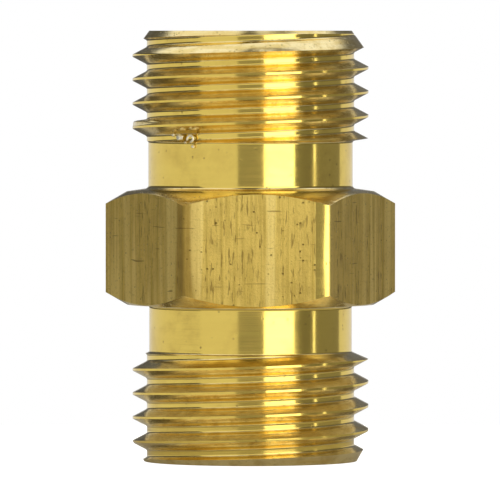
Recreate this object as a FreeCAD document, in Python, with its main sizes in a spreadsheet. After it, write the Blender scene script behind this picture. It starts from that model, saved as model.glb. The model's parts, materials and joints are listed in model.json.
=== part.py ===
"""A hex nipple: a short brass pipe fitting with a parallel male thread at each end.

One piece turned from hexagon bar. Z is the fitting's axis, +Z up, with the origin half way along it,
and two of the hexagon's flats face along Y. Lengths are in millimetres and angles in degrees.
"""
import FreeCAD, Part
import os

import Sketcher

os.makedirs("parts", exist_ok=True)
doc = FreeCAD.newDocument("hex_nipple")


# ---- driving dimensions --------------------------------------------------------------------------

DIMENSIONS = [
    # alias, value, what it is
    ("thread_diameter", 13.157, "major diameter of both threads"),
    ("thread_pitch", 1.337, "pitch of both threads, nineteen to the inch"),
    ("thread_depth", 0.8, "from the crest to the root"),
    ("thread_crest_width", 0.13, "flat on the crest"),
    ("thread_flank_angle", 27.5, "half of the angle between two flanks"),
    ("hex_margin", 0.843, "how much wider the hexagon is across its flats than the threads"),
    ("hex_height", 6.3, "length of the hexagon"),
    ("hex_face_inset", 0.2, "how much narrower the end faces' circle is than the flats"),
    ("hex_corner_slope", 30.0, "slope of the corner chamfers outside that circle"),
    ("upper_face_slope", 8.0, "slope of the upper end face, which rises towards the neck"),
    ("upper_shank_length", 8.95, "from the hexagon to the upper end"),
    ("lower_shank_length", 8.75, "from the hexagon to the lower end"),
    ("upper_neck_width", 2.8, "length of the thread relief above the hexagon"),
    ("lower_neck_width", 2.65, "length of the thread relief below the hexagon"),
    ("upper_neck_undercut", 0.08, "how far the upper neck lies below the thread's root"),
    ("lower_neck_undercut", 0.13, "how far the lower neck lies below the thread's root"),
    ("neck_corner_radius", 0.2, "radius in the corners of both necks"),
    ("upper_shoulder_run", 0.15, "length over which the upper thread's last face slopes"),
    ("lower_shoulder_run", 0.4, "length over which the lower thread's last face slopes"),
    ("upper_lead_in_depth", 0.93, "how far the chamfer at the upper end cuts in"),
    ("lower_lead_in_depth", 0.65, "how far the chamfer at the lower end cuts in"),
    ("upper_lead_in_angle", 36.0, "that chamfer's angle from the axis"),
    ("lower_lead_in_angle", 30.0, "that chamfer's angle from the axis"),
    ("upper_thread_start", 192.8, "angle from +X at which a crest reaches the upper end"),
    ("lower_thread_start", 242.6, "angle from +X at which a crest reaches the lower end"),
    ("bore_diameter", 8.0, "the way through"),
    ("bore_mouth_depth", 0.5, "chamfer at both mouths of the bore"),
    ("tool_clearance", 1.0, "how far a cutting profile reaches past the metal"),
]

# Radii from the axis and heights along it, worked out from the driving dimensions.
DERIVED = [
    ("thread_radius", "thread_diameter / 2"),
    ("root_radius", "thread_radius - thread_depth"),
    ("upper_neck_radius", "root_radius - upper_neck_undercut"),
    ("lower_neck_radius", "root_radius - lower_neck_undercut"),
    ("upper_rim_radius", "thread_radius - upper_lead_in_depth"),
    ("lower_rim_radius", "thread_radius - lower_lead_in_depth"),
    ("bore_radius", "bore_diameter / 2"),
    ("mouth_radius", "bore_radius + bore_mouth_depth"),
    ("hex_across_flats", "thread_diameter + hex_margin"),
    ("hex_corner_radius", "hex_across_flats / 2 / cos(30deg)"),
    ("hex_face_radius", "(hex_across_flats - hex_face_inset) / 2"),
    ("upper_end", "(upper_shank_length + hex_height + lower_shank_length) / 2"),
    ("lower_end", "-upper_end"),
    ("hex_top", "upper_end - upper_shank_length"),
    ("hex_bottom", "lower_end + lower_shank_length"),
    ("upper_face_rise", "(hex_face_radius - upper_neck_radius) * tan(upper_face_slope * 1deg)"),
    ("upper_face_top", "hex_top + upper_face_rise"),
    ("upper_neck_end", "hex_top + upper_neck_width"),
    ("lower_neck_end", "hex_bottom - lower_neck_width"),
]

sizes = doc.addObject("Spreadsheet::Sheet", "Sizes")
for row, (alias, value, meaning) in enumerate(DIMENSIONS, start=1):
    sizes.set(f"A{row}", meaning)
    sizes.set(f"B{row}", str(value))
    sizes.setAlias(f"B{row}", alias)

for row, (alias, formula) in enumerate(DERIVED, start=len(DIMENSIONS) + 1):
    sizes.set(f"B{row}", "=" + formula)
    sizes.setAlias(f"B{row}", alias)
doc.recompute()


def size(name):
    """The expression that reads one of the sheet's cells."""
    return f"Sizes.{name}"


# ---- sketches ------------------------------------------------------------------------------------

body = doc.addObject("PartDesign::Body", "Nipple")
body.Label = "nipple_body"


def origin_feature(role):
    """A plane or an axis of the body's own origin."""
    return next(f for f in body.Origin.OriginFeatures if f.Role == role)


def add_outline(name, plane, corners):
    """A closed outline of straight lines, each corner held at two distances from the origin."""
    sketch = body.newObject("Sketcher::SketchObject", name)
    sketch.AttachmentSupport = (origin_feature(plane), [""])
    sketch.MapMode = "FlatFace"
    # Rough places first, all different, so that the constraints have lines to pull into shape.
    rough = [FreeCAD.Vector(sketch_value(across), sketch_value(up), 0) for across, up in corners]
    for start, end in zip(rough, rough[1:] + rough[:1]):
        sketch.addGeometry(Part.LineSegment(start, end), False)
    count = len(corners)
    for line in range(count):
        sketch.addConstraint(Sketcher.Constraint("Coincident", line, 2, (line + 1) % count, 1))
    for line, (across, up) in enumerate(corners):
        hold(sketch, line, "DistanceX", across)
        hold(sketch, line, "DistanceY", up)
    return sketch


def sketch_value(expression):
    """What an expression comes to now."""
    return float(sizes.evalExpression(expression.replace("Sizes.", "")))


def hold(sketch, line, direction, expression):
    """Keep the start of a line at a distance from the sketch's origin, along X or Y."""
    index = sketch.addConstraint(
        Sketcher.Constraint(direction, -1, 1, line, 1, sketch_value(expression)))
    sketch.setExpression(f"Constraints[{index}]", expression)


# ---- hexagon -------------------------------------------------------------------------------------

hexagon = add_outline("HexagonOutline", "XY_Plane", [
    (f"{size('hex_corner_radius')} * cos({60 * corner}deg)",
     f"{size('hex_corner_radius')} * sin({60 * corner}deg)")
    for corner in range(6)
])
hexagon.setExpression(".AttachmentOffset.Base.z", size("hex_bottom"))
bar = body.newObject("PartDesign::Pad", "Hexagon")
bar.Profile = hexagon
bar.setExpression("Length", f"{size('upper_face_top')} - {size('hex_bottom')}")
doc.recompute()


def finish_cut(feature, before):
    """Recompute after a feature that takes metal away, and make sure that it did."""
    doc.recompute()
    if feature.Shape.Volume >= before - 1e-3:
        raise RuntimeError(f"{feature.Name} took nothing away")


def add_groove(name, corners):
    """Turn metal away all round the axis."""
    before = body.Shape.Volume
    outline = add_outline(name + "Outline", "XZ_Plane", corners)
    groove = body.newObject("PartDesign::Groove", name)
    groove.Profile = outline
    groove.ReferenceAxis = (origin_feature("Z_Axis"), [""])
    groove.Angle = 360
    finish_cut(groove, before)


clear = size("tool_clearance")
outside = f"{size('hex_corner_radius')} + {clear}"
corner_drop = f"({outside} - {size('hex_face_radius')}) * tan({size('hex_corner_slope')} * 1deg)"

# The upper end face is a shallow cone that rises from the corner chamfers to the neck.
add_groove("UpperHexFacing", [
    (size("upper_neck_radius"), size("upper_face_top")),
    (size("hex_face_radius"), size("hex_top")),
    (outside, f"{size('hex_top')} - {corner_drop}"),
    (outside, f"{size('upper_face_top')} + {clear}"),
    (size("upper_neck_radius"), f"{size('upper_face_top')} + {clear}"),
])
# The lower end face is flat, so that only the corners are turned off.
add_groove("LowerHexFacing", [
    (size("hex_face_radius"), size("hex_bottom")),
    (outside, f"{size('hex_bottom')} + {corner_drop}"),
    (outside, size("hex_bottom")),
])


# ---- shanks --------------------------------------------------------------------------------------

def add_shank(end, up, face):
    """A neck and the plain blank of a thread, turned in one with the hexagon.

    up is the sign of the way from the hexagon to this end, and face is the height at which
    the neck leaves the hexagon.
    """
    radius = {part: size(f"{end}_{part}_radius") for part in ("neck", "rim")}
    tip = size(end + "_end")
    inside = f"{face} {-up:+d} * {clear}"
    neck_end = size(end + "_neck_end")
    lead_in = f"{size(end + '_lead_in_depth')} / tan({size(end + '_lead_in_angle')} * 1deg)"
    outline = add_outline(f"{end.title()}ShankOutline", "XZ_Plane", [
        ("0", inside),
        (radius["neck"], inside),
        (radius["neck"], neck_end),
        (size("thread_radius"), f"{neck_end} {up:+d} * {size(end + '_shoulder_run')}"),
        (size("thread_radius"), f"{tip} {-up:+d} * {lead_in}"),
        (radius["rim"], tip),
        ("0", tip),
    ])
    shank = body.newObject("PartDesign::Revolution", f"{end.title()}Shank")
    shank.Profile = outline
    shank.ReferenceAxis = (origin_feature("Z_Axis"), [""])
    shank.Angle = 360
    doc.recompute()


add_shank("upper", +1, size("upper_face_top"))
add_shank("lower", -1, size("hex_bottom"))


# ---- neck corners --------------------------------------------------------------------------------

def circle_name(shape, radius, height):
    """The name of the circle of this radius round the axis at this height."""
    for number, edge in enumerate(shape.Edges, start=1):
        if not isinstance(edge.Curve, Part.Circle):
            continue
        off = abs(edge.Curve.Radius - radius) + abs(edge.Curve.Center.z - height)
        if off < 1e-6:
            return f"Edge{number}"
    raise RuntimeError(f"no circle of radius {radius} at height {height}")


neck_ends = [
    ("upper_neck_radius", "upper_face_top"),
    ("upper_neck_radius", "upper_neck_end"),
    ("lower_neck_radius", "hex_bottom"),
    ("lower_neck_radius", "lower_neck_end"),
]
turned = body.Tip
neck_corners = body.newObject("PartDesign::Fillet", "NeckCorners")
neck_corners.Base = (turned, [
    circle_name(turned.Shape, sketch_value(radius), sketch_value(height))
    for radius, height in neck_ends
])
neck_corners.setExpression("Radius", size("neck_corner_radius"))
doc.recompute()


# ---- bore ----------------------------------------------------------------------------------------

past_mouth = f"{size('mouth_radius')} + {clear}"
add_groove("Bore", [
    ("0", f"{size('lower_end')} - {clear}"),
    (past_mouth, f"{size('lower_end')} - {clear}"),
    (size("bore_radius"), f"{size('lower_end')} + {size('bore_mouth_depth')}"),
    (size("bore_radius"), f"{size('upper_end')} - {size('bore_mouth_depth')}"),
    (past_mouth, f"{size('upper_end')} + {clear}"),
    ("0", f"{size('upper_end')} + {clear}"),
])


# ---- threads -------------------------------------------------------------------------------------

def add_thread(end, up):
    """Cut a right-hand thread from beyond the end of a shank to the middle of its neck.

    The cutter's outline is the space between two crests. It stands in the plane of the
    angle at which a crest reaches the shank's end, one pitch and a half beyond that end.
    """
    before = body.Shape.Volume
    past_crest = f"{size('thread_radius')} + {size('thread_crest_width')}"
    crest_gap = f"({size('thread_pitch')} - {size('thread_crest_width')}) / 2"
    flank_run = f"{size('thread_depth')} * tan({size('thread_flank_angle')} * 1deg)"
    root_gap = f"({crest_gap} - {flank_run})"
    middle = f"{size(end + '_end')} {up:+d} * 1.5 * {size('thread_pitch')}"
    outline = add_outline(f"{end.title()}ThreadOutline", "XZ_Plane", [
        (size("root_radius"), f"{middle} - {root_gap}"),
        (size("thread_radius"), f"{middle} - {crest_gap}"),
        (past_crest, f"{middle} - {crest_gap}"),
        (past_crest, f"{middle} + {crest_gap}"),
        (size("thread_radius"), f"{middle} + {crest_gap}"),
        (size("root_radius"), f"{middle} + {root_gap}"),
    ])
    # The sketch's own upright axis is the fitting's axis, and the outline turns about it.
    upright = FreeCAD.Vector(0, 1, 0)
    outline.AttachmentOffset = FreeCAD.Placement(FreeCAD.Vector(), FreeCAD.Rotation(upright, 1))
    outline.setExpression(".AttachmentOffset.Rotation.Angle", f"{size(end + '_thread_start')} * 1deg")
    helix = body.newObject("PartDesign::SubtractiveHelix", f"{end.title()}Thread")
    helix.Profile = outline
    helix.ReferenceAxis = (origin_feature("Z_Axis"), [""])
    helix.Mode = "pitch-height-angle"
    helix.HasBeenEdited = True
    helix.LeftHanded = False
    helix.Reversed = up > 0
    helix.setExpression("Pitch", size("thread_pitch"))
    neck_middle = f"({size(end + '_neck_end')} {-up:+d} * {size(end + '_neck_width')} / 2)"
    helix.setExpression("Height", f"{up:+d} * ({middle} - {neck_middle})")
    finish_cut(helix, before)


add_thread("upper", +1)
add_thread("lower", -1)


# ---- checks and the STEP file --------------------------------------------------------------------

doc.recompute()
for item in doc.Objects:
    if "Invalid" in item.State or "Error" in item.State:
        raise RuntimeError(f"{item.Name} is not valid: {item.State}")
shape = body.Shape
if shape.isNull() or not shape.isValid() or len(shape.Solids) != 1:
    raise RuntimeError("the fitting should be one valid solid")
shape.exportStep(f"parts/{body.Label}.step")
print(body.Label, "volume", round(shape.Volume, 2), "length", round(shape.optimalBoundingBox().ZLength, 3))
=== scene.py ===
import json
import math

import bmesh
import bpy
from mathutils import Matrix, Vector


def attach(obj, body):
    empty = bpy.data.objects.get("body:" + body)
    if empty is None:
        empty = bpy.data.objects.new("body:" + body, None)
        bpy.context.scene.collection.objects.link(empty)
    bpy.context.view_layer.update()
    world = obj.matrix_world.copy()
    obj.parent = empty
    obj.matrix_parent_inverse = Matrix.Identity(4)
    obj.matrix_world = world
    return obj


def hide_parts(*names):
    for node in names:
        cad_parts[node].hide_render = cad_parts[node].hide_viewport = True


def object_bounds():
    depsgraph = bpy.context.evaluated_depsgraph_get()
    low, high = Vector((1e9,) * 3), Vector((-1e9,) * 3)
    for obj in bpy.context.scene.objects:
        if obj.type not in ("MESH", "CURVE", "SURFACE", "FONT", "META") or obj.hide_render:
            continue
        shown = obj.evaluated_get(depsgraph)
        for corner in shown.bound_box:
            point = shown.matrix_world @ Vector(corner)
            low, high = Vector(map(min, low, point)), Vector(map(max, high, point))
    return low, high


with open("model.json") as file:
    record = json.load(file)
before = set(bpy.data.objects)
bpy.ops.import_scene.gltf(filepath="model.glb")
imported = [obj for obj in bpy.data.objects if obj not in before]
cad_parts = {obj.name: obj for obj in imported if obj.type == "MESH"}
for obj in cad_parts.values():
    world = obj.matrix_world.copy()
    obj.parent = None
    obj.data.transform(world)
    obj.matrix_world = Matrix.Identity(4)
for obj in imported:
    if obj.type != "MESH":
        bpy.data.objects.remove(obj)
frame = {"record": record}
cad_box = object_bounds()
scene = bpy.context.scene


# ---- Nipple ---------------------------------------------------------------------------------------
# The fitting is one length of brass hexagon bar, turned down on both sides of the hexagon, drilled
# through, and threaded at both ends with a single-point tool. It is made here in the same order: a
# plain blank is turned, and then the space between the thread's crests is cut out of it.

MM = 0.001
mounts = {mount["name"]: mount for mount in frame["record"]["mounts"]}
LOW, HIGH = (Vector(corner) for corner in cad_box)

HEX_APOTHEM = HIGH.y
HEX_APEX = HEX_APOTHEM / math.cos(math.pi / 6)
HEX_BOTTOM = mounts["lower_shoulder"]["pos_m"][2]
HEX_TOP = HEX_BOTTOM + 6.3 * MM
HEX_FACE_RADIUS = HEX_APOTHEM - 0.1 * MM
CORNER_SLOPE = math.radians(30)
UPPER_FACE_RISE = 0.169 * MM

BORE_RADIUS = mounts["bore"]["dims"]["r_mm"] * MM
MOUTH_DEPTH = (HIGH.z - LOW.z - mounts["bore"]["dims"]["length_mm"] * MM) / 2

THREAD_RADIUS = mounts["upper_thread"]["dims"]["r_mm"] * MM
ROOT_RADIUS = THREAD_RADIUS - 0.8 * MM
PITCH = 1.337 * MM
CREST_WIDTH = 0.13 * MM
FLANK_ANGLE = math.radians(27.5)
THREAD_TURNS = 7
STEPS_PER_TURN = 144

# How far each kind of edge is rounded.
NECK_FILLET = 0.2 * MM
SHOULDER_FILLET = 0.12 * MM
LEAD_ROUNDING = 0.1 * MM
RIM_ROUNDING = 0.03 * MM
THREAD_ROOT_ROUNDING = 0.14 * MM
CREST_FLARE = 0.02 * MM

# The hexagon's corners are numbered round from +X. The front one on the left is the softest, and the
# front one on the right has been rubbed off to a narrow slanting land beside a crisp edge.
CORNER_ROUNDING = {-2: 0.25 * MM, 1: 0.1 * MM, 2: 0.1 * MM}
OTHER_ROUNDING = 0.015 * MM
RUBBED_CORNER = -1
RUBBED_LAND = 0.16 * MM
RUBBED_EDGE = 0.048 * MM
RUBBED_HOLD = 0.3 * MM

# Columns of faces round the blank, and how many on each side of a corner share its rounding.
COLUMNS = 288
CORNER_COLUMNS = 3
CORNER_STEP = math.radians(10)

shanks = {
    "upper": {
        "up": 1, "tip": HIGH.z, "edge": HEX_TOP, "face": HEX_TOP + UPPER_FACE_RISE,
        "neck_end": HEX_TOP + 2.8 * MM, "neck_radius": ROOT_RADIUS - 0.08 * MM,
        "shoulder_run": 0.15 * MM, "lead_in": 0.93 * MM, "lead_in_angle": math.radians(36),
        "thread_start": math.radians(192.8),
    },
    "lower": {
        "up": -1, "tip": LOW.z, "edge": HEX_BOTTOM, "face": HEX_BOTTOM,
        "neck_end": HEX_BOTTOM - 2.65 * MM, "neck_radius": ROOT_RADIUS - 0.13 * MM,
        "shoulder_run": 0.4 * MM, "lead_in": 0.65 * MM, "lead_in_angle": math.radians(30),
        "thread_start": math.radians(242.6),
    },
}


def corner_arc(corner, before, after, radius, steps=4):
    """Points that round a corner of an outline, with one more on each side that keeps it level."""
    corner, before, after = Vector(corner), Vector(before), Vector(after)
    one, two = (before - corner).normalized(), (after - corner).normalized()
    half = one.angle(two) / 2
    reach = radius / math.tan(half)
    hold = reach + 0.2 * radius
    centre = corner + (one + two).normalized() * radius / math.sin(half)
    start, end = corner + one * reach - centre, corner + two * reach - centre
    arc = [centre + start.slerp(end, k / steps) * radius for k in range(steps + 1)]
    return [corner + one * hold] + arc + [corner + two * hold]


def shank_outline(shank):
    """Radius and height along one shank, from the hexagon's face to the bore's mouth."""
    up, tip = shank["up"], shank["tip"]
    edge = (HEX_FACE_RADIUS, shank["edge"])
    root = (shank["neck_radius"], shank["face"])
    shoulder = (shank["neck_radius"], shank["neck_end"])
    crest = (THREAD_RADIUS, shank["neck_end"] + up * shank["shoulder_run"])
    lead = (THREAD_RADIUS, tip - up * shank["lead_in"] / math.tan(shank["lead_in_angle"]))
    rim = (THREAD_RADIUS - shank["lead_in"], tip)
    mouth = (BORE_RADIUS + MOUTH_DEPTH, tip)
    throat = (BORE_RADIUS, tip - up * MOUTH_DEPTH)
    points = corner_arc(root, edge, shoulder, NECK_FILLET)
    points += corner_arc(shoulder, root, crest, SHOULDER_FILLET)
    points += [Vector(crest)]
    points += corner_arc(lead, crest, rim, LEAD_ROUNDING)
    points += corner_arc(rim, lead, mouth, RIM_ROUNDING)
    points += corner_arc(mouth, rim, throat, RIM_ROUNDING)
    points += [Vector(throat)]
    return points


def corner_place(corner, column):
    """Where a column beside a corner stands: along the line out to that corner, and across it."""
    if corner == RUBBED_CORNER:
        leftwards = Vector((-0.5, -math.sqrt(3) / 2))
        rightwards = Vector((-0.5, math.sqrt(3) / 2))
        land = Vector((HEX_APEX, 0)) + leftwards * RUBBED_LAND
        edge = Vector((HEX_APEX, 0)) + rightwards * RUBBED_EDGE
        if column <= 0:
            return land.lerp(edge, (column + CORNER_COLUMNS) / CORNER_COLUMNS)
        return edge.lerp(edge + rightwards * RUBBED_HOLD, column / CORNER_COLUMNS)
    rounding = CORNER_ROUNDING.get(corner, OTHER_ROUNDING)
    centre = HEX_APEX - rounding / math.cos(math.pi / 6)
    turn = column * CORNER_STEP
    return Vector((centre + rounding * math.cos(turn), rounding * math.sin(turn)))


def new_object(name, mesh_source):
    """An object at the origin with this bmesh as its mesh."""
    mesh = bpy.data.meshes.new(name)
    mesh_source.to_mesh(mesh)
    mesh_source.free()
    made = bpy.data.objects.new(name, mesh)
    scene.collection.objects.link(made)
    return made


# The blank is an outline spun round the axis, as a lathe would turn it.
upper = shank_outline(shanks["upper"])
lower = shank_outline(shanks["lower"])
hexagon_side = [
    Vector((HEX_FACE_RADIUS, HEX_BOTTOM)), Vector((HEX_APOTHEM, HEX_BOTTOM)),
    Vector((HEX_APOTHEM, 0)), Vector((HEX_APOTHEM, HEX_TOP)), Vector((HEX_FACE_RADIUS, HEX_TOP)),
]
outline = lower[::-1] + hexagon_side + upper

blank = bmesh.new()
# Three rings become the hexagon. The outer two also run along its chamfers, one up and one down.
chamfer_way = blank.verts.layers.float.new("chamfer_way")
LOWER_RING, MIDDLE_RING, UPPER_RING = 1, 0.001, -1
profile = [blank.verts.new((p.x, 0, p.y)) for p in outline]
edges = [blank.edges.new(pair) for pair in zip(profile, profile[1:] + profile[:1])]
for offset, ring_kind in enumerate((LOWER_RING, MIDDLE_RING, UPPER_RING), start=1):
    profile[len(lower) + offset][chamfer_way] = ring_kind
bmesh.ops.spin(blank, geom=profile + edges, cent=(0, 0, 0), axis=(0, 0, 1), dvec=(0, 0, 0),
               angle=math.tau, steps=COLUMNS, use_merge=True)
for vert in blank.verts:
    way = vert[chamfer_way]
    if not way:
        continue
    angle = math.atan2(vert.co.y, vert.co.x)
    corner = round(angle / (math.pi / 3))
    off_corner = angle - corner * math.pi / 3
    column = round(off_corner / (math.tau / COLUMNS))
    if abs(column) > CORNER_COLUMNS:
        radius = HEX_APOTHEM / math.cos(abs(off_corner) - math.pi / 6)
        vert.co.xy = (radius * math.cos(angle), radius * math.sin(angle))
    else:
        vert.co.xy = Matrix.Rotation(corner * math.pi / 3, 2) @ corner_place(corner, column)
        radius = vert.co.xy.length
    if abs(way) == 1:
        vert.co.z += way * (radius - HEX_FACE_RADIUS) * math.tan(CORNER_SLOPE)
bmesh.ops.recalc_face_normals(blank, faces=blank.faces)
body = new_object("nipple_brass", blank)


def thread_cutter(name, shank):
    """The metal that threading takes from one shank, as a closed helix."""
    crest_gap = (PITCH - CREST_WIDTH) / 2
    flank_run = (THREAD_RADIUS - ROOT_RADIUS) * math.tan(FLANK_ANGLE)
    root = (ROOT_RADIUS, crest_gap - flank_run)
    half = corner_arc(root, (ROOT_RADIUS, 0), (THREAD_RADIUS, crest_gap), THREAD_ROOT_ROUNDING)
    # The flank ends in a small flare, which takes the sharpness off the crest's edge.
    flare = CREST_FLARE
    half.append(Vector((THREAD_RADIUS - flare, crest_gap - flare * math.tan(FLANK_ANGLE))))
    half.append(Vector((THREAD_RADIUS + flare, crest_gap + flare)))
    half.append(Vector((THREAD_RADIUS + 6 * flare, crest_gap + flare)))
    across = [Vector((p.x, -p.y)) for p in half[::-1]] + half
    # The cut starts in the air off the tip, and its last turn ends in the clear over the neck.
    above = shank["tip"] + shank["up"] * 1.5 * PITCH
    down = -shank["up"]
    turning = Matrix.Rotation(shank["thread_start"], 4, "Z")
    cutter = bmesh.new()
    ring = [cutter.verts.new(turning @ Vector((p.x, 0, above + p.y))) for p in across]
    loop = [cutter.edges.new(pair) for pair in zip(ring, ring[1:] + ring[:1])]
    bmesh.ops.spin(cutter, geom=ring + loop, cent=(0, 0, 0), axis=(0, 0, 1),
                   dvec=(0, 0, down * PITCH / STEPS_PER_TURN), angle=down * math.tau,
                   steps=STEPS_PER_TURN, use_merge=False)
    one_turn = cutter.verts[:] + cutter.edges[:] + cutter.faces[:]
    for turn in range(1, THREAD_TURNS):
        again = bmesh.ops.duplicate(cutter, geom=one_turn)["geom"]
        again_verts = [part for part in again if isinstance(part, bmesh.types.BMVert)]
        bmesh.ops.translate(cutter, verts=again_verts, vec=(0, 0, down * turn * PITCH))
    bmesh.ops.remove_doubles(cutter, verts=cutter.verts, dist=0.001 * MM)
    bmesh.ops.holes_fill(cutter, edges=[e for e in cutter.edges if len(e.link_faces) == 1])
    bmesh.ops.recalc_face_normals(cutter, faces=cutter.faces)
    return new_object(name, cutter)


def cut_away(target, tool):
    """Take the tool's space out of the target, and remove the tool."""
    cut = target.modifiers.new("cut", "BOOLEAN")
    cut.operation = "DIFFERENCE"
    cut.solver = "MANIFOLD"
    cut.object = tool
    bpy.context.view_layer.update()
    after_cut = target.evaluated_get(bpy.context.evaluated_depsgraph_get())
    mesh = bpy.data.meshes.new_from_object(after_cut)
    target.modifiers.clear()
    old = target.data
    target.data = mesh
    bpy.data.meshes.remove(old)
    bpy.data.objects.remove(tool)


for end, shank in shanks.items():
    cut_away(body, thread_cutter(end + "_cutter", shank))

# Which finish each face has: 0 for what is turned, 1 for the bar's own skin on the flats, and 2 for
# the threads and the other faces that slope, whose paler colour is painted light. Emptying the slots
# resets this, so that comes first.
TURNED, DRAWN, THREADED = 0, 1, 2
SHARP = math.radians(28)
# The upward share of a face's normal below which it is upright, and above which it slopes.
UPRIGHT, SLOPING = 0.1, 0.25
# How far past the rubbed corner its land still counts, in radians.
CORNER_EDGE = 0.0005
body.data.materials.clear()
finish = bmesh.new()
finish.from_mesh(body.data)
bmesh.ops.remove_doubles(finish, verts=finish.verts, dist=0.0005 * MM)
for edge in finish.edges:
    edge.smooth = len(edge.link_faces) == 2 and edge.calc_face_angle(0) < SHARP
for face in finish.faces:
    face.smooth = True
    centre = face.calc_center_median()
    out = centre.xy.length
    past_corner = math.atan2(centre.y, centre.x) - RUBBED_CORNER * math.pi / 3
    rubbed = -CORNER_COLUMNS * math.tau / COLUMNS < past_corner < CORNER_EDGE
    on_hexagon = HEX_BOTTOM < centre.z < HEX_TOP and out > HEX_FACE_RADIUS
    if on_hexagon and abs(face.normal.z) < UPRIGHT and not rubbed:
        face.material_index = DRAWN
    elif out > BORE_RADIUS + MOUTH_DEPTH and abs(face.normal.z) > SLOPING:
        face.material_index = THREADED
    else:
        face.material_index = TURNED
finish.to_mesh(body.data)
finish.free()

FLOAT, VECTOR = "NodeSocketFloat", "NodeSocketVector"
# Texture scale at which a pattern repeats about once a millimetre.
PER_MM = 1000.0


def feed(tree, socket, value):
    """Give an input a number or a colour, or join another node's output to it."""
    if isinstance(value, bpy.types.NodeSocket):
        tree.links.new(value, socket)
    else:
        socket.default_value = value


def node(tree, kind, feeds=(), **settings):
    """A node with these settings, whose inputs are fed by name or number."""
    made = tree.nodes.new(kind)
    for setting, value in settings.items():
        setattr(made, setting, value)
    for name, value in dict(feeds).items():
        feed(tree, made.inputs[name], value)
    return made


def maths(tree, operation, *values):
    """A Math node fed by numbers or outputs."""
    return node(tree, "ShaderNodeMath", dict(enumerate(values)), operation=operation).outputs[0]


def ramped(tree, value, low, high, kind="SMOOTHSTEP"):
    """The value, taken from this range to nought and one."""
    feeds = {"Value": value, "From Min": low, "From Max": high}
    return node(tree, "ShaderNodeMapRange", feeds, interpolation_type=kind).outputs[0]


def blended(tree, share, one, two):
    """Two colours mixed by a share."""
    return node(tree, "ShaderNodeMix", {0: share, 6: one, 7: two}, data_type="RGBA").outputs[2]


def noise(tree, place, scale, detail, roughness):
    """Noise over the metal."""
    feeds = {"Vector": place, "Scale": scale, "Detail": detail, "Roughness": roughness}
    return node(tree, "ShaderNodeTexNoise", feeds).outputs["Fac"]


def stretched(tree, place, stretch, detail=3.0, roughness=0.6):
    """Noise that is drawn out along one direction."""
    scaled = node(tree, "ShaderNodeVectorMath", {0: place, 1: stretch}, operation="MULTIPLY")
    return noise(tree, scaled.outputs[0], PER_MM, detail, roughness)


def new_group(name, inputs, outputs):
    """A node group with these named inputs and outputs, and its inner sockets."""
    group = bpy.data.node_groups.new(name, "ShaderNodeTree")
    for label, kind, value in inputs:
        socket = group.interface.new_socket(label, in_out="INPUT", socket_type=kind)
        socket.default_value = value
    for label in outputs:
        group.interface.new_socket(label, in_out="OUTPUT", socket_type=FLOAT)
    given = group.nodes.new("NodeGroupInput").outputs
    return group, given, group.nodes.new("NodeGroupOutput").inputs


def tool_marks_group():
    """Tool marks: fine lines along one direction, with coarser ones among them."""
    group, given, result = new_group("tool_marks", [
        ("Place", VECTOR, (0, 0, 0)), ("Fine", VECTOR, (1, 1, 1)), ("Coarse", VECTOR, (1, 1, 1)),
    ], ["Fine Lines", "Coarse Lines"])
    feed(group, result["Fine Lines"], stretched(group, given["Place"], given["Fine"]))
    feed(group, result["Coarse Lines"], stretched(group, given["Place"], given["Coarse"], 2.0))
    return group


def handling_group():
    """Handling: small pits, and the dull film that brass gets in patches."""
    group, given, result = new_group("handling", [
        ("Place", VECTOR, (0, 0, 0)), ("Pit Size", FLOAT, 0.1), ("Pit Share", FLOAT, 0.3),
        ("Patch Size", FLOAT, 2.0),
    ], ["Pits", "Film"])
    pit_scale = maths(group, "DIVIDE", PER_MM, given["Pit Size"])
    cells = node(group, "ShaderNodeTexVoronoi", {"Vector": given["Place"], "Scale": pit_scale})
    draw = node(group, "ShaderNodeSeparateColor", {"Color": cells.outputs["Color"]}).outputs[0]
    few = maths(group, "LESS_THAN", draw, given["Pit Share"])
    dip = ramped(group, cells.outputs["Distance"], 0.42, 0.1, "LINEAR")
    feed(group, result["Pits"], maths(group, "MULTIPLY", dip, few))
    patch_scale = maths(group, "DIVIDE", PER_MM, given["Patch Size"])
    patches = noise(group, given["Place"], patch_scale, 5.0, 0.62)
    feed(group, result["Film"], ramped(group, patches, 0.42, 0.68))
    return group


tool_marks = tool_marks_group()
handling = handling_group()


def placed(tree, group, feeds):
    """The outputs of a node group placed in a material, with its own values."""
    return node(tree, "ShaderNodeGroup", feeds, node_tree=group).outputs


def new_material(name):
    """A material, with its tree, its shader and the place on the piece that its pattern reads."""
    material = bpy.data.materials.new(name)
    material.use_nodes = True
    tree = material.node_tree
    place = node(tree, "ShaderNodeTexCoord").outputs["Object"]
    return material, tree, tree.nodes["Principled BSDF"], place


def as_metal(tree, shader, colour, rough, level, strength, depth):
    """Join a finish's colour, roughness and relief to the shader, as solid metal."""
    relief = node(tree, "ShaderNodeBump", {"Height": level, "Strength": strength, "Distance": depth})
    shader.inputs["Metallic"].default_value = 1
    feed(tree, shader.inputs["Base Color"], colour)
    feed(tree, shader.inputs["Roughness"], rough)
    feed(tree, shader.inputs["Normal"], relief.outputs[0])


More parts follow.
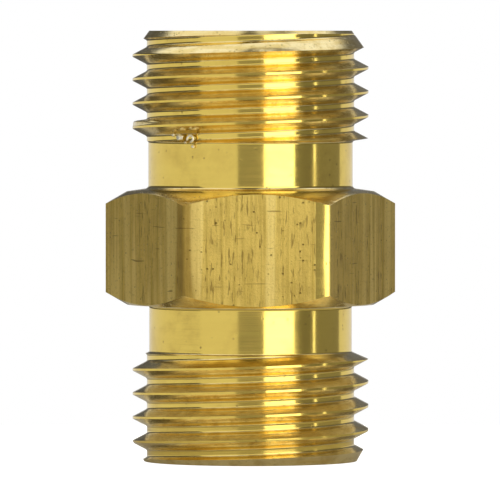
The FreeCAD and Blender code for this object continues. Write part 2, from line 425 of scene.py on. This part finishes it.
def turned_brass():
    """Bright metal as the lathe leaves it, with fine rings round it and a little film."""
    clean, dull = (0.90, 0.67, 0.15, 1), (0.72, 0.50, 0.11, 1)
    ring_shade, pit_shade = (0.80, 0.56, 0.12, 1), (0.22, 0.13, 0.05, 1)
    material, tree, shader, place = new_material("turned_brass")
    rings = placed(tree, tool_marks, {
        "Place": place, "Fine": (0.06, 0.06, 9.0), "Coarse": (0.10, 0.10, 1.6)})
    wear = placed(tree, handling, {
        "Place": place, "Pit Size": 0.20, "Pit Share": 0.05, "Patch Size": 1.6})
    colour = blended(tree, maths(tree, "MULTIPLY", wear["Film"], 0.45), clean, dull)
    coarse = maths(tree, "MULTIPLY", ramped(tree, rings["Coarse Lines"], 0.35, 0.7), 0.22)
    colour = blended(tree, coarse, colour, ring_shade)
    colour = blended(tree, maths(tree, "MULTIPLY", wear["Pits"], 0.5), colour, pit_shade)
    rough = maths(tree, "MULTIPLY_ADD", rings["Fine Lines"], 0.08, 0.07)
    rough = maths(tree, "MULTIPLY_ADD", wear["Film"], 0.05, rough)
    level = maths(tree, "MULTIPLY_ADD", rings["Coarse Lines"], 1.2, rings["Fine Lines"])
    level = maths(tree, "MULTIPLY_ADD", wear["Pits"], -1.5, level)
    as_metal(tree, shader, colour, rough, level, 0.5, 0.004 * MM)
    return material


def drawn_brass():
    """The skin of the drawn bar on the flats: duller, with streaks and drag marks along the bar."""
    clean, dull = (0.71, 0.515, 0.125, 1), (0.43, 0.29, 0.07, 1)
    dark_streak, bright_streak = (0.50, 0.35, 0.07, 1), (0.92, 0.72, 0.24, 1)
    speck_shade, pit_shade = (0.42, 0.28, 0.06, 1), (0.16, 0.09, 0.03, 1)
    drag_shade, scratch_shade = (0.26, 0.17, 0.04, 1), (0.24, 0.15, 0.04, 1)
    soft_corner = (-4.02 * MM, -6.98 * MM, 0)
    material, tree, shader, place = new_material("drawn_brass")
    streaks = placed(tree, tool_marks, {
        "Place": place, "Fine": (5.0, 5.0, 0.12), "Coarse": (1.1, 1.1, 0.05)})
    wear = placed(tree, handling, {
        "Place": place, "Pit Size": 0.16, "Pit Share": 0.05, "Patch Size": 1.1})
    grain = noise(tree, place, 7 * PER_MM, 4.0, 0.7)
    # Painted shade darkens the front flat towards its soft corner on the left, where it is also
    # rougher.
    level_place = node(tree, "ShaderNodeVectorMath", {0: place, 1: (1, 1, 0)}, operation="MULTIPLY")
    to_corner = node(tree, "ShaderNodeVectorMath", {0: level_place.outputs[0], 1: soft_corner},
                     operation="DISTANCE").outputs["Value"]
    corner_shade = ramped(tree, to_corner, 1.4 * MM, 0.2 * MM)
    # The dull mix holds both the film and the painted shade by the corner.
    film = maths(tree, "MULTIPLY_ADD", corner_shade, 0.75, maths(tree, "MULTIPLY", wear["Film"], 0.30))
    colour = blended(tree, film, clean, dull)
    fine = maths(tree, "MULTIPLY", ramped(tree, streaks["Fine Lines"], 0.45, 0.70), 0.70)
    colour = blended(tree, fine, colour, dark_streak)
    coarse = maths(tree, "MULTIPLY", ramped(tree, streaks["Coarse Lines"], 0.50, 0.62), 0.60)
    colour = blended(tree, coarse, colour, bright_streak)
    specks = maths(tree, "MULTIPLY", ramped(tree, grain, 0.55, 0.66), 0.45)
    colour = blended(tree, specks, colour, speck_shade)
    colour = blended(tree, maths(tree, "MULTIPLY", wear["Pits"], 0.65), colour, pit_shade)
    # Broken dark dashes run along the bar where the die has dragged.
    dashes = ramped(tree, stretched(tree, place, (7.0, 7.0, 1.1), 2.0, 0.5), 0.56, 0.66)
    drag = maths(tree, "MULTIPLY", dashes, ramped(tree, streaks["Coarse Lines"], 0.55, 0.40))
    colour = blended(tree, maths(tree, "MULTIPLY", drag, 0.75), colour, drag_shade)
    # Short scratches lie across the bar where the fitting has knocked about in a bin.
    scratches = ramped(tree, stretched(tree, place, (0.55, 0.55, 6.5), 1.0, 0.4), 0.71, 0.76)
    colour = blended(tree, maths(tree, "MULTIPLY", scratches, 0.7), colour, scratch_shade)
    rough = maths(tree, "MULTIPLY_ADD", streaks["Fine Lines"], 0.20, 0.38)
    rough = maths(tree, "MULTIPLY_ADD", corner_shade, 0.15, rough)
    level = maths(tree, "MULTIPLY_ADD", streaks["Coarse Lines"], 1.5, streaks["Fine Lines"])
    level = maths(tree, "MULTIPLY_ADD", grain, 0.9, level)
    level = maths(tree, "MULTIPLY_ADD", wear["Pits"], -2.0, level)
    as_metal(tree, shader, colour, rough, level, 0.8, 0.03 * MM)
    return material


def threaded_brass_painted_light():
    """The metal of the threads and the other sloping faces, a little torn by the tool, with painted
    light: a paler, yellower colour than the turned metal.
    """
    clean, dull = (0.96, 0.82, 0.44, 1), (0.64, 0.47, 0.17, 1)
    ring_shade, pit_shade = (0.80, 0.58, 0.16, 1), (0.30, 0.20, 0.06, 1)
    material, tree, shader, place = new_material("threaded_brass_painted_light")
    rings = placed(tree, tool_marks, {
        "Place": place, "Fine": (0.5, 0.5, 7.0), "Coarse": (0.25, 0.25, 3.0)})
    wear = placed(tree, handling, {
        "Place": place, "Pit Size": 0.13, "Pit Share": 0.16, "Patch Size": 0.7})
    colour = blended(tree, maths(tree, "MULTIPLY", wear["Film"], 0.55), clean, dull)
    coarse = maths(tree, "MULTIPLY", ramped(tree, rings["Coarse Lines"], 0.42, 0.62), 0.55)
    colour = blended(tree, coarse, colour, ring_shade)
    colour = blended(tree, maths(tree, "MULTIPLY", wear["Pits"], 0.4), colour, pit_shade)
    rough = maths(tree, "MULTIPLY_ADD", rings["Fine Lines"], 0.16, 0.10)
    level = maths(tree, "MULTIPLY_ADD", rings["Coarse Lines"], 1.5, rings["Fine Lines"])
    level = maths(tree, "MULTIPLY_ADD", wear["Pits"], -1.5, level)
    as_metal(tree, shader, colour, rough, level, 0.6, 0.01 * MM)
    return material


threads = threaded_brass_painted_light()
for material in (turned_brass(), drawn_brass(), threads):
    body.data.materials.append(material)
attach(body, "root")
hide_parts("nipple_body")


# ---- Burr -----------------------------------------------------------------------------------------
# Where the threading tool left the upper thread it pushed up a short rib of brass beside the last
# crest. Its outline is swept part of the way round along the thread, and dies away at both ends.

BURR_MIDDLE = math.radians(178)
BURR_TURN = math.radians(84)
BURR_STEPS = 60
BURR_FOOT_RADIUS = 6.2 * MM
BURR_FOOT_RISE = 0.14 * MM
crest_z = shanks["upper"]["tip"] - PITCH * (4 + 15.5 / 360)
# Radius and height over the crest's middle, in millimetres.
rib = [
    (6.56, -0.05), (6.565, 0.1), (6.545, 0.3), (6.46, 0.375),
    (6.25, 0.4), (5.88, 0.46), (5.95, 0.3), (6.45, 0),
]
burr_mesh = bmesh.new()
turning = Matrix.Rotation(BURR_MIDDLE - BURR_TURN / 2, 4, "Z")
start_z = crest_z - PITCH * (BURR_TURN / 2) / math.tau
ring = [burr_mesh.verts.new(turning @ Vector((r * MM, 0, start_z + z * MM))) for r, z in rib]
end_face = burr_mesh.faces.new(ring)
bmesh.ops.spin(burr_mesh, geom=[end_face] + list(end_face.edges) + ring, cent=(0, 0, 0), axis=(0, 0, 1),
               dvec=(0, 0, PITCH * BURR_TURN / math.tau / BURR_STEPS), angle=BURR_TURN,
               steps=BURR_STEPS, use_merge=False)
for vert in burr_mesh.verts:
    angle = math.atan2(vert.co.y, vert.co.x) % math.tau
    away = min(1, abs(angle - BURR_MIDDLE) / (BURR_TURN / 2))
    kept = (1 - away ** 4) * (0.96 + 0.04 * math.sin(23 * angle))
    # The rib sinks back into the flank below it.
    foot_z = crest_z + PITCH * (angle - BURR_MIDDLE) / math.tau + BURR_FOOT_RISE
    foot = Vector((BURR_FOOT_RADIUS * math.cos(angle), BURR_FOOT_RADIUS * math.sin(angle), foot_z))
    vert.co = foot.lerp(vert.co, kept)
# Both ends come to a point, where their vertices are joined.
bmesh.ops.remove_doubles(burr_mesh, verts=burr_mesh.verts, dist=0.001 * MM)
bmesh.ops.recalc_face_normals(burr_mesh, faces=burr_mesh.faces)
burr = new_object("thread_burr", burr_mesh)
burr.data.materials.append(threads)
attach(burr, "root")


# ---- Swarf ----------------------------------------------------------------------------------------
# A few crumbs and one tight curl of brass still cling to the upper thread's run-out, torn off by the
# tool and never cleaned away. The crumbs are small balls pulled out of round; the curl is a swept bead.

# Degrees round from +X, then distance out, height, width and tallness in millimetres.
crumbs = [
    (-133.5, 6.02, 6.12, 0.24, 0.17), (-138.0, 5.98, 6.24, 0.12, 0.10),
    (-125.9, 5.80, 5.62, 0.11, 0.10), (-131.0, 5.76, 5.83, 0.08, 0.07),
]
CRUMB_THICKNESS = 0.12
CURL_RADIUS = 0.17 * MM
CURL_BEAD = 0.075 * MM
CURL_TURN = math.radians(310)
CURL_STEPS = 28


def swarf_place(degrees, radius, z):
    """The transform that takes something from the origin to its place on the thread."""
    out = Matrix.Translation((radius * MM, 0, z * MM))
    return Matrix.Rotation(math.radians(degrees), 4, "Z") @ out


swarf_mesh = bmesh.new()
for number, (degrees, radius, z, width, tall) in enumerate(crumbs):
    crumb = bmesh.ops.create_icosphere(swarf_mesh, subdivisions=3, radius=1)["verts"]
    for vert in crumb:
        p = vert.co
        torn = 1 + 0.22 * math.sin(3.1 * p.x + 2 * number) * math.cos(4.3 * p.y + number)
        torn += 0.12 * math.sin(7 * p.z)
        vert.co = Vector((p.x * torn * CRUMB_THICKNESS, p.y * torn * width, p.z * torn * tall)) * MM
    bmesh.ops.transform(swarf_mesh, verts=crumb, matrix=swarf_place(degrees, radius, z))

crumb_verts = set(swarf_mesh.verts)
section = bmesh.ops.create_circle(swarf_mesh, cap_ends=True, segments=10, radius=CURL_BEAD)["verts"]
bmesh.ops.translate(swarf_mesh, verts=section, vec=(CURL_RADIUS, 0, 0))
bmesh.ops.rotate(swarf_mesh, verts=section, cent=(CURL_RADIUS, 0, 0),
                 matrix=Matrix.Rotation(math.pi / 2, 3, "X"))
section_edges = list({edge for vert in section for edge in vert.link_edges})
section_faces = list({face for vert in section for face in vert.link_faces})
bmesh.ops.spin(swarf_mesh, geom=section + section_edges + section_faces, cent=(0, 0, 0),
               axis=(0, 0, 1), dvec=(0, 0, 0.004 * MM), angle=CURL_TURN, steps=CURL_STEPS,
               use_merge=False)
# The curl stands up on the thread, facing outwards.
curl = [vert for vert in swarf_mesh.verts if vert not in crumb_verts]
standing = Matrix.Rotation(math.radians(78), 4, "Y")
bmesh.ops.transform(swarf_mesh, verts=curl, matrix=swarf_place(-126.1, 5.98, 6.03) @ standing)
bmesh.ops.recalc_face_normals(swarf_mesh, faces=swarf_mesh.faces)
for face in swarf_mesh.faces:
    face.smooth = True
swarf = new_object("swarf", swarf_mesh)


def torn_brass_painted_highlight():
    """Rough metal that the tool has torn, coloured near white as a painted highlight."""
    pale, deep = (1.00, 0.96, 0.82, 1), (0.92, 0.82, 0.54, 1)
    material, tree, shader, place = new_material("torn_brass_painted_highlight")
    grain = noise(tree, place, 9 * PER_MM, 4.0, 0.7)
    rough = maths(tree, "MULTIPLY_ADD", grain, 0.3, 0.25)
    as_metal(tree, shader, blended(tree, grain, pale, deep), rough, grain, 0.8, 0.03 * MM)
    return material


swarf.data.materials.append(torn_brass_painted_highlight())
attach(swarf, "root")


# ---- Floor ----------------------------------------------------------------------------------------
# A small round table of pale board, just clear of the fitting's lower end. To the camera it glows
# white like the tent behind it, and the brass sees it as plain board.

FLOOR_RADIUS = 45 * MM
FLOOR_GAP = 0.02 * MM
floor_mesh = bmesh.new()
bmesh.ops.create_circle(floor_mesh, cap_ends=True, segments=96, radius=FLOOR_RADIUS)
bmesh.ops.translate(floor_mesh, verts=floor_mesh.verts, vec=(0, 0, LOW.z - FLOOR_GAP))
floor = new_object("floor", floor_mesh)
board = bpy.data.materials.new("pale_floor")
board.use_nodes = True
tree = board.node_tree
shader = tree.nodes["Principled BSDF"]
shader.inputs["Base Color"].default_value = (0.60, 0.57, 0.50, 1)
shader.inputs["Roughness"].default_value = 0.9
shader.inputs["Emission Color"].default_value = (1, 1, 1, 1)
seen = node(tree, "ShaderNodeLightPath").outputs["Is Camera Ray"]
feed(tree, shader.inputs["Emission Strength"], seen)
floor.data.materials.append(board)


# ---- Camera ---------------------------------------------------------------------------------------
# A long lens looks at the fitting from almost straight in front and a little to the left, level with
# its upper rim.

DISTANCE = 480 * MM
AZIMUTH = math.radians(2.7)
VIEW_WIDTH = 27.886 * MM
camera_data = bpy.data.cameras.new("camera")
camera = bpy.data.objects.new("camera", camera_data)
scene.collection.objects.link(camera)
eye = Vector((-DISTANCE * math.sin(AZIMUTH), -DISTANCE * math.cos(AZIMUTH), HIGH.z + 0.05 * MM))
aim = Vector((-0.028 * MM, 0, -0.23 * MM))
camera.location = eye
camera.rotation_euler = (aim - eye).to_track_quat("-Z", "Y").to_euler()
camera_data.sensor_width = 36
camera_data.lens = camera_data.sensor_width * (aim - eye).length / VIEW_WIDTH
camera_data.clip_start = 0.01
scene.camera = camera


# ---- Studio ---------------------------------------------------------------------------------------
# The fitting stands in a plain white tent with neutral light, open at the front for the camera. On
# the right it has one large window, and past that a black card with a strip light showing through
# it. The ceiling is brightest over the window and dark at the back.

# Degrees round from the camera, plus to its right, and how bright the tent is from there on.
WALL = [(-180, 0.75), (-15, 0.3), (15, 2.8), (50, 0.2), (75, 2.0), (78, 0.25), (120, 0.75)]
CEILING = [(-180, 0.1), (-60, 0.8), (15, 1.9), (55, 0.15)]
LID = [(-180, 1.0), (-20, 0.1), (15, 0.8), (50, 0.3), (80, 1.0)]
BRIGHTEST = 4.0

world = bpy.data.worlds.new("studio")
scene.world = world
world.use_nodes = True
tree = world.node_tree
tree.nodes.clear()
outwards = node(tree, "ShaderNodeTexCoord").outputs["Generated"]
turned = node(tree, "ShaderNodeMapping", {"Vector": outwards, "Rotation": (0, 0, AZIMUTH)})
axes = node(tree, "ShaderNodeSeparateXYZ", {0: turned.outputs[0]}).outputs
round_angle = maths(tree, "ARCTAN2", axes["X"], maths(tree, "MULTIPLY", axes["Y"], -1.0))
round_share = maths(tree, "MULTIPLY_ADD", round_angle, 1 / math.tau, 0.5)


def tent_strip(panels):
    """The brightness of one height of the tent, all the way round it."""
    strip = node(tree, "ShaderNodeValToRGB", {0: round_share})
    strip.color_ramp.interpolation = "CONSTANT"
    stops = strip.color_ramp.elements
    while len(stops) < len(panels):
        stops.new(1.0)
    for stop, (start, brightness) in zip(stops, panels):
        stop.position = (start + 180) / 360
        stop.color = [brightness / BRIGHTEST] * 3 + [1]
    return strip.outputs["Color"]


over_wall = ramped(tree, maths(tree, "ABSOLUTE", axes["Z"]), 0.055, 0.10)
over_ceiling = ramped(tree, axes["Z"], 0.50, 0.66)
tent = blended(tree, over_wall, tent_strip(WALL), tent_strip(CEILING))
tent = blended(tree, over_ceiling, tent, tent_strip(LID))
lit = node(tree, "ShaderNodeBackground", {"Color": tent, "Strength": BRIGHTEST}).outputs[0]
white = node(tree, "ShaderNodeBackground", {"Color": (1, 1, 1, 1)}).outputs[0]
seen = node(tree, "ShaderNodeLightPath").outputs["Is Camera Ray"]
either = node(tree, "ShaderNodeMixShader", {0: seen, 1: lit, 2: white})
node(tree, "ShaderNodeOutputWorld", {"Surface": either.outputs[0]})
scene.view_settings.view_transform = "Standard"
